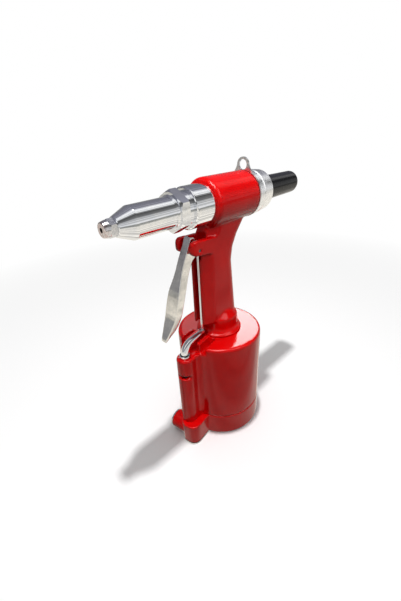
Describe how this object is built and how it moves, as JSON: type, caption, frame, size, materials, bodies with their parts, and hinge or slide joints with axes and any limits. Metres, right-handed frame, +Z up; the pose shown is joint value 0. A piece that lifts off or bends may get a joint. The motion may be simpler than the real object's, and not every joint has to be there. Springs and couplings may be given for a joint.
{
  "type": "air-hydraulic hand riveter",
  "caption": "Air-hydraulic hand riveter: red cast handle and air cylinder, chrome nose with jaws, lever trigger, valve column and black mandrel collector.",
  "frame": {"origin": "centre of the base face of the air cylinder, on the surface the tool stands on", "axes": "+Z up along the air cylinder, the nose points along -Y, the air inlet is on the -X side"},
  "size_m": [0.087, 0.2258, 0.2759],
  "materials": {
    "red_paint": "gloss red paint on cast aluminium",
    "polished_chrome": "mirror chrome on turned steel",
    "nose_steel": "blued hardened steel, worn at the mouth",
    "bright_aluminium": "fine turned aluminium",
    "plated_steel": "bright zinc plate",
    "trigger_plate": "pressed steel, nickel plate",
    "black_plastic": "moulded black plastic",
    "black_rubber": "nitrile rubber",
    "green_seal": "polyurethane oil seal",
    "ground_steel": "ground and hardened steel",
    "dark_steel": "black oxide tool steel",
    "spring_steel": "drawn spring wire",
    "brass": "turned brass",
    "tube_nylon": "natural nylon tube",
    "copper": "soft copper washer"
  },
  "bodies": {
    "frame": {"handle_casting": "red_paint", "air_cylinder": "red_paint", "base_casting": "red_paint", "base_gasket": "black_rubber", "base_screws": "plated_steel", "valve_joint_seal": "black_rubber", "gland_nut": "plated_steel", "ram_seal": "green_seal", "piston_bumper": "black_rubber", "nose_housing": "polished_chrome", "lock_ring": "polished_chrome", "nose_piece": "nose_steel", "rod_seal": "black_rubber", "rear_cap": "bright_aluminium", "rear_cap_seal": "black_rubber", "hanger": "plated_steel", "mandrel_tube": "tube_nylon", "trigger_pin": "plated_steel", "valve_spring": "spring_steel", "return_spring": "spring_steel", "valve_bushing": "polished_chrome", "valve_cover_plate": "plated_steel", "cover_screws": "plated_steel", "air_inlet_bushing": "plated_steel", "inlet_screen": "bright_aluminium", "oil_plug": "plated_steel", "oil_plug_washer": "copper"},
    "trigger_lever": {"trigger": "trigger_plate", "link_pin": "plated_steel"},
    "valve_train": {"push_rod": "polished_chrome", "valve_lever": "polished_chrome", "valve_stem": "plated_steel", "valve_spool": "brass", "spool_seals": "black_rubber"},
    "air_piston_group": {"air_piston": "bright_aluminium", "air_piston_seal": "black_rubber", "ram": "ground_steel", "piston_nut": "plated_steel"},
    "pulling_gear": {"pull_piston": "ground_steel", "pull_piston_seal": "green_seal", "jaw_case": "dark_steel", "jaw_1": "dark_steel", "jaw_2": "dark_steel", "jaw_3": "dark_steel", "jaw_pusher": "ground_steel", "jaw_pusher_spring": "spring_steel"},
    "collector": {"mandrel_collector": "black_plastic"}
  },
  "joints": [
    {"name": "trigger_pivot", "type": "hinge", "parent": "frame", "child": "trigger_lever", "pos_m": [0, -0.032, 0.2105], "axis": [1, 0, 0], "range_deg": [0, 15], "stiffness_Nm_per_rad": 0.35, "springref_deg": -5.73},
    {"name": "valve_lift", "type": "slide", "parent": "frame", "child": "valve_train", "axis": [0, 0, 1], "range_m": [0, 0.0023], "stiffness_N_per_m": 40, "springref_m": -0.003, "deforming": ["valve_spring"]},
    {"name": "air_piston_rise", "type": "slide", "parent": "frame", "child": "air_piston_group", "axis": [0, 0, 1], "range_m": [0, 0.0505]},
    {"name": "jaw_pull", "type": "slide", "parent": "frame", "child": "pulling_gear", "axis": [0, 1, 0], "range_m": [0, 0.0162], "stiffness_N_per_m": 900, "springref_m": -0.02, "deforming": ["return_spring"]},
    {"name": "collector_pull", "type": "slide", "parent": "frame", "child": "collector", "axis": [0, 1, 0], "range_m": [0, 0.014]}
  ],
  "couplings": [
    {"joint": "valve_lift", "follows": "trigger_pivot", "m_per_rad": 0.008},
    {"joint": "jaw_pull", "follows": "air_piston_rise", "ratio": 0.31683}
  ]
}
